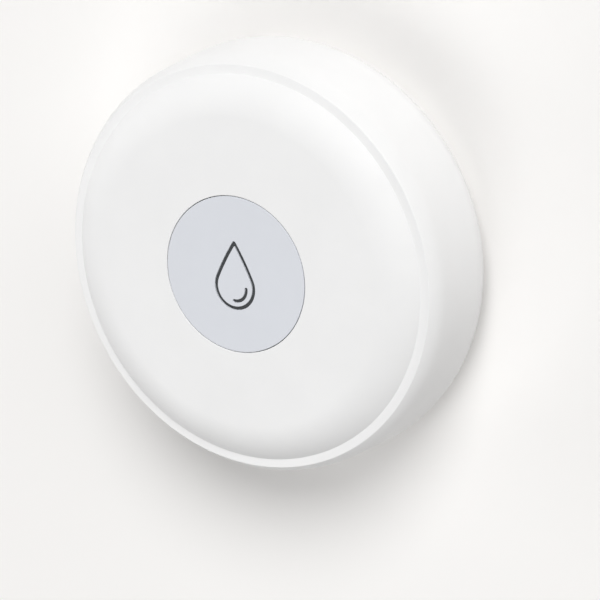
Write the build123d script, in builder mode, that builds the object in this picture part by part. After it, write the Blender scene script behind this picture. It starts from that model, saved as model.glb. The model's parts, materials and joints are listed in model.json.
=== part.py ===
from build123d import *
import os
from math import cos, radians, sin, sqrt, tan

# Water leak sensor: a round puck that lies on the floor on three rubber feet.
# Its front, with the push button, faces up (+Z), and +Y is the top of the drop sign.
# The origin is on the floor, under the middle of the case. Lengths are millimetres.

os.makedirs("parts", exist_ok=True)

cut_overrun = 1.0

# Coin cell, the standard size that the case is built round
cell_radius = 10.0
cell_height = 3.2
cell_sheet = 0.25
cell_crimp_width = 0.8
cell_cap_step = 0.25
cell_cap_setback = 1.0
cell_gasket_lift = 0.6
cell_gasket_gap = 0.02
cell_core_gap = 0.05

# Battery holder, the moulded ring under the board
holder_clearance = 0.2
holder_wall = 1.4
holder_reach = 0.05
holder_ceiling = 0.6
holder_window_radius = 6.2
holder_slot_clearance = 0.3
holder_peg_radius = 0.5
holder_peg_clearance = 0.05
holder_peg_share = 0.8
holder_peg_angles = (60.0, 180.0, 300.0)

# Sheet-metal battery contacts
strip_thickness = 0.2
strip_width = 3.0
strip_contact_gap = 0.05
positive_foot_length = 1.7
positive_drop = 0.8
negative_foot_length = 2.2
negative_run = 2.0
negative_pad_half = 0.8
negative_tail_run = 1.2
negative_tail_rise = 0.4

# Battery door with its bayonet lugs, and the well that it closes
door_bore_clearance = 0.7
well_wall = 1.2
well_top_gap = 0.3
door_seat_depth = 1.0
door_seat_width = 0.7
door_rim_gap = 0.12
door_seat_gap = 0.05
plug_clearance = 0.2
plug_floor = 0.85
plug_wall = 1.0
door_ring_radius = 8.0
door_ring_wall = 0.8
seal_offset = 0.17
seal_tube_radius = 0.5
seal_groove_slack = 0.05
seal_bore_gap = 0.05
upper_land = 0.25
tab_gap = 0.1
tab_thickness = 0.4
tab_reach = 0.9
lug_gap = 0.05
lug_thickness = 0.45
lug_count = 3
lug_angle = 30.0
tab_angle = 36.0
stop_angle = 4.0
stop_play_angle = 1.0
coin_slot_length = 14.0
coin_slot_width = 1.8
coin_slot_depth = 0.8
mark_radius = 0.45
mark_depth = 0.2
mark_setback = 1.6
door_open_angle = 45.0

# Case base
foot_standoff = 0.45
base_thickness = 1.6
seam_rise = 0.8
seam_gap = 0.05
spigot_clearance = 0.1
spigot_wall = 1.5
spigot_height = 2.3
base_seal_tube_radius = 0.45
base_seal_offset = 1.15
base_groove_slack = 0.05
base_seal_gap = 0.02

# Rubber feet, and the case screws that they hide
foot_radius = 3.0
foot_margin = 0.45
foot_recess_depth = 0.5
foot_recess_clearance = 0.08
foot_edge_round = 0.25
foot_count = 3
foot_start_angle = 90.0
case_screw_head_radius = 1.7
case_screw_head_height = 1.2
case_screw_head_gap = 0.2
case_screw_radius = 0.95
case_screw_length = 7.0
case_boss_radius = 2.0
case_pillar_wall = 1.1
case_pillar_roof = 1.6
boss_seat_gap = 0.05
thread_clearance = 0.05
hole_clearance = 0.2
screw_tip_room = 0.6

# Cross-head screws
screw_crown_share = 0.45
screw_point_share = 0.5
drive_span_share = 1.3
drive_width = 0.4
drive_depth = 0.45
small_drive_share = 0.75

# Front housing
lower_edge_radius = 4.6
wall_draft_angle = 5.0
shoulder_depth = 2.2
rim_setback = 1.55
rim_width = 1.0
bore_inset = 0.65
pillow_run = 4.55
pillow_rise = 1.85
face_thickness = 1.4

# Push button
button_radius = 9.05
button_gap = 0.14
button_edge_round = 0.12
button_thickness = 1.2
button_skirt_wall = 1.1
flange_lip = 0.6
flange_thickness = 0.6
flange_gap = 0.1
flange_side_gap = 0.5
stem_radius = 2.2
stem_gap = 0.05
button_travel = 0.5
press_margin = 0.1
stem_drop = 0.3
cap_rib_width = 0.8
cap_rib_height = 0.5
cap_rib_count = 6
key_width = 1.6
key_reach = 0.8
key_clearance = 0.15

# Water drop sign, let into the button
drop_radius = 2.67
drop_height = 8.2
drop_side_radius = 30.0
drop_tip_round = 0.22
drop_stroke = 0.4
glint_radius = 1.43
glint_stroke = 0.38
glint_offset = 0.05
glint_lift = 0.19
glint_start_angle = -97.0
glint_turn = 103.0
groove_depth = 0.22
inlay_thickness = 0.1

# Silicone membrane under the button, clamped by a ring
membrane_bead_width = 1.8
membrane_bead_height = 0.8
membrane_web = 0.4
membrane_bead_inset = 0.15
membrane_pad_radius = 2.5
membrane_fold_radius = 5.2
membrane_fold_width = 2.0
membrane_fold_rise = 0.25
membrane_fold_slope = 0.3
nub_radius = 1.5
nub_length = 0.65
rib_overhang = 0.2
retainer_thickness = 0.8
retainer_margin = 0.4
ear_radius = 1.9
ear_offset = 1.3
ear_count = 3
ear_start_angle = 30.0
ear_boss_radius = 2.0
retainer_screw_head_radius = 1.25
retainer_screw_head_height = 0.6
retainer_screw_radius = 0.55
retainer_screw_length = 1.9

# Tactile switch on the board
switch_side = 6.0
switch_base_height = 1.3
switch_cover_thickness = 0.25
switch_height = 2.5
switch_cavity_radius = 2.0
switch_cavity_floor = 0.4
plunger_radius = 1.2
plunger_flange_radius = 1.7
plunger_flange_thickness = 0.4
plunger_gap = 0.05
plunger_edge_round = 0.15
dome_thickness = 0.1
dome_rise = 0.3
dome_side_gap = 0.2
switch_gap = 0.25
terminal_width = 0.6
terminal_reach = 1.0
terminal_rise = 0.6
terminal_thickness = 0.2
terminal_pitch = 4.5

# Circuit board
contact_height = 1.05
cell_gap = 0.28
board_thickness = 1.0
board_edge_gap = 1.8
board_boss_clearance = 0.35
board_post_radius = 2.0
board_post_angles = (30.0, 150.0)
board_screw_head_radius = 1.5
board_screw_head_height = 0.8
board_screw_radius = 0.7
board_screw_length = 5.0

# Leak probes, two gilt screws that meet the water, and the posts that they are driven into
probe_angles = (250.0, 290.0)
probe_floor_gap = 0.15
probe_recess_depth = 0.5
probe_recess_clearance = 0.15
probe_head_radius = 2.2
probe_head_round = 0.45
probe_slot_width = 0.6
probe_slot_depth = 0.3
probe_radius = 0.95
probe_length = 5.6
probe_seal_depth = 0.6
probe_seal_wall = 0.8
probe_pad_height = 1.35
probe_pad_margin = 0.4
post_flat = 3.7
post_sides = 6
post_spigot_radius = 0.7
post_spigot_proud = 0.3
solder_clearance = 0.1

# Radio module
radio_thickness = 0.8
radio_edge_gap = 2.2
radio_shift = 0.2
shield_length = 7.6
shield_width = 9.6
shield_height = 1.1
shield_sheet = 0.2
shield_margin = 0.4
shield_side_margin = 0.7
shield_gap = 0.75
radio_chip_side = 5.0
radio_chip_height = 0.75
antenna_thickness = 0.12
antenna_track = 0.45
antenna_gap = 0.45
antenna_legs = 6
antenna_reach = 1.9
antenna_margin = 0.35

# Small parts on the board
crystal_length = 3.2
crystal_width = 2.5
crystal_height = 0.7
crystal_edge_round = 0.3
chip_length = 4.9
chip_width = 3.9
chip_height = 1.4
chip_pin_pitch = 1.27
chip_pin_width = 0.42
chip_pin_reach = 1.05
chip_pin_thickness = 0.2
chip_pins_per_side = 4
capacitor_length = 1.6
capacitor_width = 0.8
capacitor_height = 0.8
capacitor_pitch = 1.6
capacitor_count = 4
chip_setback = 8.5
chip_shift = -3.4
crystal_setback = 9.8
crystal_shift = 3.2
capacitor_setback = 5.4
capacitor_shift = 2.6

# Heights, stacked up from the floor to the front face
case_bottom = foot_standoff
base_inside = case_bottom + base_thickness
door_seat_level = case_bottom + door_seat_depth
groove_bottom = door_seat_level + seal_offset
groove_top = groove_bottom + 2 * (seal_tube_radius + seal_groove_slack)
land_top = groove_top + upper_land
tab_bottom = land_top + tab_gap
tab_top = tab_bottom + tab_thickness
lug_bottom = tab_top + lug_gap
lug_top = lug_bottom + lug_thickness
cell_bottom = lug_top + cell_gap
cell_top = cell_bottom + cell_height
board_bottom = cell_top + contact_height
board_top = board_bottom + board_thickness
plunger_top = board_top + switch_height
nub_bottom = plunger_top + switch_gap
web_bottom = nub_bottom + nub_length
web_top = web_bottom + membrane_web
flange_bottom = web_top + press_margin + button_travel
flange_top = flange_bottom + flange_thickness
face_underside = flange_top + flange_gap
face_level = face_underside + face_thickness
rim_level = face_level - pillow_rise

# Radii, from the coin cell out to the wall
holder_bore = cell_radius + holder_clearance
holder_radius = holder_bore + holder_wall
door_bore = holder_radius + door_bore_clearance
well_radius = door_bore + well_wall
boss_circle = well_radius + foot_margin + foot_radius
lower_flat_radius = boss_circle + foot_radius + foot_margin
case_radius = lower_flat_radius + lower_edge_radius
rim_radius = case_radius - rim_setback
rim_inner_radius = rim_radius - rim_width
pillow_flat_radius = rim_inner_radius - pillow_run
bore_radius = rim_inner_radius - bore_inset
board_radius = bore_radius - board_edge_gap


def lower_round_radius(level):
    """Radius of the rounded lower edge at a height."""
    drop = case_bottom + lower_edge_radius - level
    return lower_flat_radius + sqrt(lower_edge_radius**2 - drop**2)


def save(builder, name):
    """Label a finished piece and write it to its own file."""
    builder.part.label = name
    export_step(builder.part, f"parts/{name}.step")


def polar(radius, angles, tilt=0):
    """Places on a circle, each turned to face outwards and then tilted about X."""
    points = [(radius * cos(radians(a)), radius * sin(radians(a)), 0) for a in angles]
    return [Location(point, (tilt, 0, a)) for point, a in zip(points, angles)]


def sectors(radius, angle, start_angle):
    """Equal wedges about the origin, one for each bayonet lug."""
    reach = 2 * radius
    half = reach * tan(radians(angle / 2))
    with PolarLocations(0, lug_count, start_angle=start_angle):
        Polygon((0, 0), (reach, -half), (reach, half), align=None)


def ring_profile(inner, outer, low, high):
    """Square section of a ring, on one side of the upright axis."""
    Polygon((inner, low), (outer, low), (outer, high), (inner, high), align=None)


# Front housing: wall, flat rim band and pillow-shaped front in one moulding
round_centre = (lower_flat_radius, case_bottom + lower_edge_radius)
draft = radians(wall_draft_angle)
wall_low = (
    round_centre[0] + lower_edge_radius * cos(draft),
    round_centre[1] + lower_edge_radius * sin(draft),
)
wall_high_level = rim_level - shoulder_depth
wall_high = (wall_low[0] - (wall_high_level - wall_low[1]) * tan(draft), wall_high_level)
seam_level = case_bottom + seam_rise
seam_radius = lower_round_radius(seam_level)
pillow_radius = (pillow_run**2 + pillow_rise**2) / (2 * pillow_rise)
inner_pillow_radius = pillow_radius - face_thickness
bore_top = face_level - pillow_radius
bore_top += sqrt(inner_pillow_radius**2 - (bore_radius - pillow_flat_radius) ** 2)
button_hole_radius = button_radius + button_gap
flange_radius = button_hole_radius + flange_lip
rib_inner = flange_radius + flange_side_gap
rib_outer = rib_inner + membrane_bead_inset + membrane_bead_width + rib_overhang
bead_top = web_top + (membrane_bead_height - membrane_web) / 2
bead_bottom = bead_top - membrane_bead_height
retainer_radius = rib_outer + retainer_margin
ear_circle = retainer_radius + ear_offset
pillar_top = case_bottom + foot_recess_depth + case_screw_head_gap + case_screw_head_height
pillar_top += case_pillar_roof
case_boss_bottom = pillar_top + boss_seat_gap
case_screw_seat = pillar_top - case_pillar_roof
case_screw_tip = case_screw_seat + case_screw_length
retainer_bottom = bead_bottom - retainer_thickness
retainer_screw_tip = retainer_bottom + retainer_screw_length
boss_root = face_underside + face_thickness / 2

with BuildPart() as front_housing:
    with BuildSketch(Plane.XZ):
        with BuildLine():
            Line((0, face_level), (pillow_flat_radius, face_level))
            TangentArc(
                (pillow_flat_radius, face_level), (rim_inner_radius, rim_level), tangent=(1, 0)
            )
            Line((rim_inner_radius, rim_level), (rim_radius, rim_level))
            TangentArc(wall_high, (rim_radius, rim_level), tangent=(-sin(draft), cos(draft)))
            Line(wall_high, wall_low)
            TangentArc(wall_low, (seam_radius, seam_level), tangent=(sin(draft), -cos(draft)))
            Polyline((seam_radius, seam_level), (bore_radius, seam_level), (bore_radius, bore_top))
            TangentArc(
                (pillow_flat_radius, face_underside), (bore_radius, bore_top), tangent=(1, 0)
            )
            Polyline((pillow_flat_radius, face_underside), (0, face_underside), (0, face_level))
        make_face()
    revolve(axis=Axis.Z)
    with BuildSketch(Plane.XY.offset(bead_top)):
        Circle(rib_outer)
        Circle(rib_inner, mode=Mode.SUBTRACT)
    extrude(amount=boss_root - bead_top)
    with BuildSketch(Plane.XY.offset(bead_top)):
        with Locations((0, -rib_outer)):
            Rectangle(key_width, 2 * (rib_outer - rib_inner + key_reach))
        Circle(rib_outer, mode=Mode.INTERSECT)
    extrude(amount=boss_root - bead_top)
    with BuildSketch(Plane.XY.offset(bead_bottom)):
        with PolarLocations(ear_circle, ear_count, start_angle=ear_start_angle):
            Circle(ear_boss_radius)
        Circle(rib_outer, mode=Mode.SUBTRACT)
    extrude(amount=boss_root - bead_bottom)
    with BuildSketch(Plane.XY.offset(case_boss_bottom)):
        with PolarLocations(boss_circle, foot_count, start_angle=foot_start_angle):
            Circle(case_boss_radius)
    extrude(amount=boss_root - case_boss_bottom)
    with BuildSketch(Plane.XY.offset(face_underside - cut_overrun)):
        Circle(button_hole_radius)
    extrude(amount=face_thickness + 2 * cut_overrun, mode=Mode.SUBTRACT)
    hole_edge = front_housing.edges().filter_by(GeomType.CIRCLE).group_by(Axis.Z)[-1]
    fillet(hole_edge.sort_by(SortBy.RADIUS)[0], button_edge_round)
    with BuildSketch(Plane.XY.offset(case_boss_bottom)):
        with PolarLocations(boss_circle, foot_count, start_angle=foot_start_angle):
            Circle(case_screw_radius + thread_clearance)
    extrude(amount=case_screw_tip + screw_tip_room - case_boss_bottom, mode=Mode.SUBTRACT)
    with BuildSketch(Plane.XY.offset(bead_bottom)):
        with PolarLocations(ear_circle, ear_count, start_angle=ear_start_angle):
            Circle(retainer_screw_radius + thread_clearance)
    extrude(amount=retainer_screw_tip + thread_clearance - bead_bottom, mode=Mode.SUBTRACT)
save(front_housing, "front_housing")

# Case base: floor, spigot, battery well with bayonet tabs, pillars and standoffs
spigot_radius = bore_radius - spigot_clearance
spigot_inner = spigot_radius - spigot_wall
spigot_top = base_inside + spigot_height
flange_face = seam_level - seam_gap
base_edge_radius = lower_round_radius(flange_face)
well_top = board_bottom - well_top_gap
base_seal_level = base_inside + base_seal_offset
base_seal_radius = bore_radius - base_seal_gap - base_seal_tube_radius
base_groove_radius = base_seal_radius - base_seal_tube_radius - base_groove_slack
base_groove_half = base_seal_tube_radius + base_groove_slack
door_seat_radius = door_bore + door_seat_width
tab_inner = door_bore - tab_reach
case_pillar_radius = case_screw_head_radius + hole_clearance + case_pillar_wall
probe_seat = case_bottom + probe_recess_depth
probe_pad_radius = probe_head_radius + probe_pad_margin
probe_pad_top = base_inside + probe_pad_height
probe_seal_inner = probe_radius + hole_clearance
probe_seal_outer = probe_seal_inner + probe_seal_wall
board_screw_tip = board_top - board_screw_length
stop_centre_angle = lug_angle / 2 + stop_play_angle + stop_angle / 2

with BuildPart() as base_plate:
    with BuildSketch(Plane.XZ):
        with BuildLine():
            Line((0, case_bottom), (lower_flat_radius, case_bottom))
            TangentArc(
                (lower_flat_radius, case_bottom), (base_edge_radius, flange_face), tangent=(1, 0)
            )
            Polyline(
                (base_edge_radius, flange_face),
                (spigot_radius, flange_face),
                (spigot_radius, spigot_top),
                (spigot_inner, spigot_top),
                (spigot_inner, base_inside),
                (0, base_inside),
                (0, case_bottom),
            )
        make_face()
    revolve(axis=Axis.Z)
    with BuildSketch(Plane.XZ):
        ring_profile(
            base_groove_radius,
            spigot_radius + cut_overrun,
            base_seal_level - base_groove_half,
            base_seal_level + base_groove_half,
        )
    revolve(axis=Axis.Z, mode=Mode.SUBTRACT)
    with BuildSketch(Plane.XY.offset(base_inside)):
        Circle(well_radius)
    extrude(amount=well_top - base_inside)
    with BuildSketch(Plane.XY.offset(base_inside)):
        with PolarLocations(boss_circle, foot_count, start_angle=foot_start_angle):
            Circle(case_pillar_radius)
        Circle(well_radius, mode=Mode.SUBTRACT)
    extrude(amount=pillar_top - base_inside)
    with BuildSketch(Plane.XY.offset(base_inside)):
        with Locations(*polar(boss_circle, board_post_angles)):
            Circle(board_post_radius)
    extrude(amount=board_bottom - base_inside)
    with BuildSketch(Plane.XY.offset(base_inside)):
        with Locations(*polar(boss_circle, probe_angles)):
            Circle(probe_pad_radius)
    extrude(amount=probe_pad_height)
    with BuildSketch(Plane.XY.offset(case_bottom - cut_overrun)):
        Circle(door_bore)
    extrude(amount=well_top - case_bottom + 2 * cut_overrun, mode=Mode.SUBTRACT)
    with BuildSketch(Plane.XY.offset(case_bottom - cut_overrun)):
        Circle(door_seat_radius)
    extrude(amount=door_seat_depth + cut_overrun, mode=Mode.SUBTRACT)
    with BuildSketch(Plane.XY.offset(tab_bottom)):
        sectors(well_radius, tab_angle, 0)
        Circle(door_bore + well_wall / 2, mode=Mode.INTERSECT)
        Circle(tab_inner, mode=Mode.SUBTRACT)
    extrude(amount=tab_thickness)
    with BuildSketch(Plane.XY.offset(tab_top)):
        sectors(well_radius, stop_angle, stop_centre_angle)
        Circle(door_bore + well_wall / 2, mode=Mode.INTERSECT)
        Circle(tab_inner, mode=Mode.SUBTRACT)
    extrude(amount=lug_gap + lug_thickness)
    with BuildSketch(Plane.XY.offset(case_bottom - cut_overrun)):
        with PolarLocations(boss_circle, foot_count, start_angle=foot_start_angle):
            Circle(foot_radius + foot_recess_clearance)
    extrude(amount=foot_recess_depth + cut_overrun, mode=Mode.SUBTRACT)
    with BuildSketch(Plane.XY.offset(case_bottom)):
        with PolarLocations(boss_circle, foot_count, start_angle=foot_start_angle):
            Circle(case_screw_head_radius + hole_clearance)
    extrude(amount=case_screw_seat - case_bottom, mode=Mode.SUBTRACT)
    with BuildSketch(Plane.XY.offset(case_bottom)):
        with PolarLocations(boss_circle, foot_count, start_angle=foot_start_angle):
            Circle(case_screw_radius + hole_clearance)
    extrude(amount=pillar_top - case_bottom + cut_overrun, mode=Mode.SUBTRACT)
    with BuildSketch(Plane.XY.offset(board_screw_tip - screw_tip_room)):
        with Locations(*polar(boss_circle, board_post_angles)):
            Circle(board_screw_radius + thread_clearance)
    extrude(amount=board_screw_length + cut_overrun, mode=Mode.SUBTRACT)
    with BuildSketch(Plane.XY.offset(case_bottom - cut_overrun)):
        with Locations(*polar(boss_circle, probe_angles)):
            Circle(probe_head_radius + probe_recess_clearance)
    extrude(amount=probe_recess_depth + cut_overrun, mode=Mode.SUBTRACT)
    with BuildSketch(Plane.XY.offset(probe_seat)):
        with Locations(*polar(boss_circle, probe_angles)):
            Circle(probe_seal_outer + thread_clearance)
    extrude(amount=probe_seal_depth, mode=Mode.SUBTRACT)
    with BuildSketch(Plane.XY.offset(case_bottom)):
        with Locations(*polar(boss_circle, probe_angles)):
            Circle(probe_radius + hole_clearance)
    extrude(amount=probe_pad_top - case_bottom + cut_overrun, mode=Mode.SUBTRACT)
    with BuildSketch(Plane.XY.offset(case_bottom - cut_overrun)):
        with Locations(*polar(door_seat_radius + mark_setback, (0, -door_open_angle))):
            Circle(mark_radius)
    extrude(amount=mark_depth + cut_overrun, mode=Mode.SUBTRACT)
save(base_plate, "base_plate")

# Base seal, an O-ring in the spigot's groove
with BuildPart() as base_seal:
    with BuildSketch(Plane.XZ):
        with Locations((base_seal_radius, base_seal_level)):
            Circle(base_seal_tube_radius)
    revolve(axis=Axis.Z)
save(base_seal, "base_seal")

# Rubber feet, seated in recesses over the case screws
foot_height = foot_standoff + foot_recess_depth
with BuildPart() as feet:
    with BuildSketch():
        with PolarLocations(boss_circle, foot_count, start_angle=foot_start_angle):
            Circle(foot_radius)
    extrude(amount=foot_height)
    chamfer(feet.edges().group_by(Axis.Z)[0], foot_edge_round)
save(feet, "feet")


def screw(head_radius, head_height, shaft_radius, shaft_length, cross_width, cross_depth):
    """Pan-head screw with a cross recess, head up and its seat at zero."""
    with BuildPart() as blank:
        with BuildSketch():
            Circle(head_radius)
        extrude(amount=head_height)
        fillet(blank.edges().group_by(Axis.Z)[-1], head_height * screw_crown_share)
        with BuildSketch():
            Circle(shaft_radius)
        extrude(amount=-shaft_length)
        chamfer(blank.edges().group_by(Axis.Z)[0], shaft_radius * screw_point_share)
        with BuildSketch(Plane.XY.offset(head_height - cross_depth)):
            Rectangle(head_radius * drive_span_share, cross_width)
            Rectangle(cross_width, head_radius * drive_span_share)
        extrude(amount=cross_depth + cut_overrun, mode=Mode.SUBTRACT)
    return blank.part


def place_screws(blank, seat_level, tilt, radius, angles):
    """Copies of one screw on a circle; a tilt of 180 turns their heads down."""
    with BuildPart() as group:
        with Locations(Location((0, 0, seat_level))):
            with Locations(*polar(radius, angles, tilt)):
                add(blank)
    return group


# Case screws, driven up from under the feet into the housing's bosses
foot_angles = [foot_start_angle + 360 / foot_count * i for i in range(foot_count)]
case_screw = screw(
    case_screw_head_radius,
    case_screw_head_height,
    case_screw_radius,
    case_screw_length,
    drive_width,
    drive_depth,
)
case_screws = place_screws(case_screw, case_screw_seat, 180, boss_circle, foot_angles)
save(case_screws, "case_screws")

# Drop sign: a round bowl with two slightly bowed sides that meet in a rounded tip, and a glint
cap_underside = face_level - button_thickness
skirt_inner = button_radius - button_skirt_wall
stem_bottom = flange_bottom - stem_drop
groove_floor = face_level - groove_depth
bowl_centre = drop_radius - drop_height / 2
tip_reach = drop_height - drop_radius
side_reach = drop_side_radius - drop_radius
touch_share = (drop_side_radius**2 - side_reach**2 - tip_reach**2) / (2 * tip_reach * side_reach)
touch_spread = sqrt(1 - touch_share**2)
touch_side = drop_radius * touch_spread
touch_level = bowl_centre + drop_radius * touch_share
bowl_low = bowl_centre - drop_radius
tip_level = bowl_centre + tip_reach

with BuildSketch(Plane.XY.offset(groove_floor)) as drop_sign:
    with BuildLine():
        ThreePointArc((touch_side, touch_level), (0, bowl_low), (-touch_side, touch_level))
        TangentArc(
            (-touch_side, touch_level), (0, tip_level), tangent=(touch_share, touch_spread)
        )
        TangentArc(
            (touch_side, touch_level), (0, tip_level), tangent=(-touch_share, touch_spread)
        )
    make_face()
    offset(amount=-drop_stroke, kind=Kind.INTERSECTION, mode=Mode.SUBTRACT)
    fillet(drop_sign.vertices().sort_by(Axis.Y)[-1], drop_tip_round)
    glint_centre = (glint_offset, bowl_centre - glint_lift)
    with BuildLine() as glint_line:
        CenterArc(glint_centre, glint_radius, glint_start_angle, glint_turn)
    SlotArc(glint_line.edge(), glint_stroke)

# Button cap: disc with a skirt, a retaining flange with a key slot, ribs and a stem
with BuildPart() as button_cap:
    with BuildSketch(Plane.XY.offset(cap_underside)):
        Circle(button_radius)
    extrude(amount=button_thickness)
    fillet(button_cap.edges().group_by(Axis.Z)[-1], button_edge_round)
    with BuildSketch(Plane.XY.offset(flange_bottom)):
        Circle(button_radius)
        Circle(skirt_inner, mode=Mode.SUBTRACT)
    extrude(amount=cap_underside - flange_bottom)
    with BuildSketch(Plane.XY.offset(flange_bottom)):
        Circle(flange_radius)
        Circle(skirt_inner, mode=Mode.SUBTRACT)
    extrude(amount=flange_thickness)
    with BuildSketch(Plane.XY.offset(cap_underside - cap_rib_height)):
        with PolarLocations(button_radius / 2, cap_rib_count):
            Rectangle(button_radius - button_skirt_wall / 2, cap_rib_width)
        Circle(stem_radius / 2, mode=Mode.SUBTRACT)
    extrude(amount=cap_rib_height)
    with BuildSketch(Plane.XY.offset(stem_bottom)):
        Circle(stem_radius)
    extrude(amount=cap_underside - stem_bottom)
    with BuildSketch(Plane.XY.offset(flange_bottom - cut_overrun)):
        with Locations((0, -flange_radius)):
            Rectangle(
                key_width + 2 * key_clearance,
                2 * (flange_radius - rib_inner + key_reach + key_clearance),
            )
    extrude(amount=flange_thickness + flange_gap + cut_overrun, mode=Mode.SUBTRACT)
    extrude(drop_sign.sketch, amount=groove_depth + cut_overrun, mode=Mode.SUBTRACT)
save(button_cap, "button_cap")

# Dark fill on the floor of the sign's groove
with BuildPart() as drop_inlay:
    extrude(drop_sign.sketch, amount=inlay_thickness)
save(drop_inlay, "drop_inlay")

# Silicone membrane: clamped bead, folded web, and a pad whose nub works the switch
bead_inner = rib_inner + membrane_bead_inset
bead_outer = bead_inner + membrane_bead_width
pad_top = stem_bottom - stem_gap
fold_inner = membrane_fold_radius
fold_outer = membrane_fold_radius + membrane_fold_width
fold_slope = membrane_fold_slope
with BuildPart() as button_membrane:
    with BuildSketch(Plane.XZ):
        Polygon(
            (0, nub_bottom),
            (nub_radius, nub_bottom),
            (nub_radius, web_bottom),
            (fold_inner, web_bottom),
            (fold_inner + fold_slope, web_bottom + membrane_fold_rise),
            (fold_outer - fold_slope, web_bottom + membrane_fold_rise),
            (fold_outer, web_bottom),
            (bead_inner, web_bottom),
            (bead_inner, bead_bottom),
            (bead_outer, bead_bottom),
            (bead_outer, bead_top),
            (bead_inner, bead_top),
            (bead_inner, web_top),
            (fold_outer, web_top),
            (fold_outer - fold_slope, web_top + membrane_fold_rise),
            (fold_inner + fold_slope, web_top + membrane_fold_rise),
            (fold_inner, web_top),
            (membrane_pad_radius, web_top),
            (membrane_pad_radius, pad_top),
            (0, pad_top),
            align=None,
        )
    revolve(axis=Axis.Z)
save(button_membrane, "button_membrane")

# Retaining ring that clamps the membrane, and its three screws
with BuildPart() as membrane_retainer:
    with BuildSketch(Plane.XY.offset(retainer_bottom)):
        Circle(retainer_radius)
        with PolarLocations(ear_circle, ear_count, start_angle=ear_start_angle):
            Circle(ear_radius)
        Circle(rib_inner, mode=Mode.SUBTRACT)
        with PolarLocations(ear_circle, ear_count, start_angle=ear_start_angle):
            Circle(retainer_screw_radius + hole_clearance, mode=Mode.SUBTRACT)
    extrude(amount=retainer_thickness)
save(membrane_retainer, "membrane_retainer")

ear_angles = [ear_start_angle + 360 / ear_count * i for i in range(ear_count)]
retainer_screw = screw(
    retainer_screw_head_radius,
    retainer_screw_head_height,
    retainer_screw_radius,
    retainer_screw_length,
    drive_width * small_drive_share,
    drive_depth * small_drive_share,
)
retainer_screws = place_screws(retainer_screw, retainer_bottom, 180, ear_circle, ear_angles)
save(retainer_screws, "retainer_screws")

# Circuit board with slots for the case bosses and holes for screws, posts and pegs
holder_peg_circle = (holder_bore + holder_radius) / 2
with BuildPart() as circuit_board:
    with BuildSketch(Plane.XY.offset(board_bottom)):
        Circle(board_radius)
        with PolarLocations(boss_circle, foot_count, start_angle=foot_start_angle):
            Circle(case_boss_radius + board_boss_clearance, mode=Mode.SUBTRACT)
        with PolarLocations(board_radius, foot_count, start_angle=foot_start_angle):
            Rectangle(
                2 * (board_radius - boss_circle),
                2 * (case_boss_radius + board_boss_clearance),
                mode=Mode.SUBTRACT,
            )
        with Locations(*polar(boss_circle, board_post_angles)):
            Circle(board_screw_radius + hole_clearance, mode=Mode.SUBTRACT)
        with Locations(*polar(boss_circle, probe_angles)):
            Circle(post_spigot_radius + solder_clearance, mode=Mode.SUBTRACT)
        with Locations(*polar(holder_peg_circle, holder_peg_angles)):
            Circle(holder_peg_radius + holder_peg_clearance, mode=Mode.SUBTRACT)
    extrude(amount=board_thickness)
save(circuit_board, "circuit_board")

board_screw = screw(
    board_screw_head_radius,
    board_screw_head_height,
    board_screw_radius,
    board_screw_length,
    drive_width,
    drive_depth,
)
board_screws = place_screws(board_screw, board_top, 0, boss_circle, board_post_angles)
save(board_screws, "board_screws")

# Leak probes: slotted gilt screws from below, each with a seal and a post under the board
probe_head_height = probe_seat - probe_floor_gap
probe_bore_top = probe_seat + probe_length + screw_tip_room
with BuildPart() as probe_blank:
    with BuildSketch(Plane.XY.offset(probe_floor_gap)):
        Circle(probe_head_radius)
    extrude(amount=probe_head_height)
    fillet(probe_blank.edges().group_by(Axis.Z)[0], probe_head_round)
    with BuildSketch(Plane.XY.offset(probe_seat)):
        Circle(probe_radius)
    extrude(amount=probe_length)
    chamfer(probe_blank.edges().group_by(Axis.Z)[-1], probe_radius * screw_point_share)
    with BuildSketch(Plane.XY.offset(probe_floor_gap - cut_overrun)):
        Rectangle(2 * probe_head_radius + cut_overrun, probe_slot_width)
    extrude(amount=probe_slot_depth + cut_overrun, mode=Mode.SUBTRACT)
probe_screws = place_screws(probe_blank.part, 0, 0, boss_circle, probe_angles)
save(probe_screws, "probe_screws")

with BuildPart() as probe_seals:
    with BuildSketch(Plane.XY.offset(probe_seat)):
        with Locations(*polar(boss_circle, probe_angles)):
            Circle(probe_seal_outer)
            Circle(probe_seal_inner, mode=Mode.SUBTRACT)
    extrude(amount=probe_seal_depth)
save(probe_seals, "probe_seals")

with BuildPart() as probe_posts:
    with BuildSketch(Plane.XY.offset(probe_pad_top)):
        with Locations(*polar(boss_circle, probe_angles)):
            RegularPolygon(post_flat / 2, post_sides, major_radius=False)
    extrude(amount=board_bottom - probe_pad_top)
    with BuildSketch(Plane.XY.offset(board_bottom)):
        with Locations(*polar(boss_circle, probe_angles)):
            Circle(post_spigot_radius)
    extrude(amount=board_thickness + post_spigot_proud)
    with BuildSketch(Plane.XY.offset(probe_pad_top - cut_overrun)):
        with Locations(*polar(boss_circle, probe_angles)):
            Circle(probe_radius + thread_clearance)
    extrude(amount=probe_bore_top - probe_pad_top + cut_overrun, mode=Mode.SUBTRACT)
save(probe_posts, "probe_posts")

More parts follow.
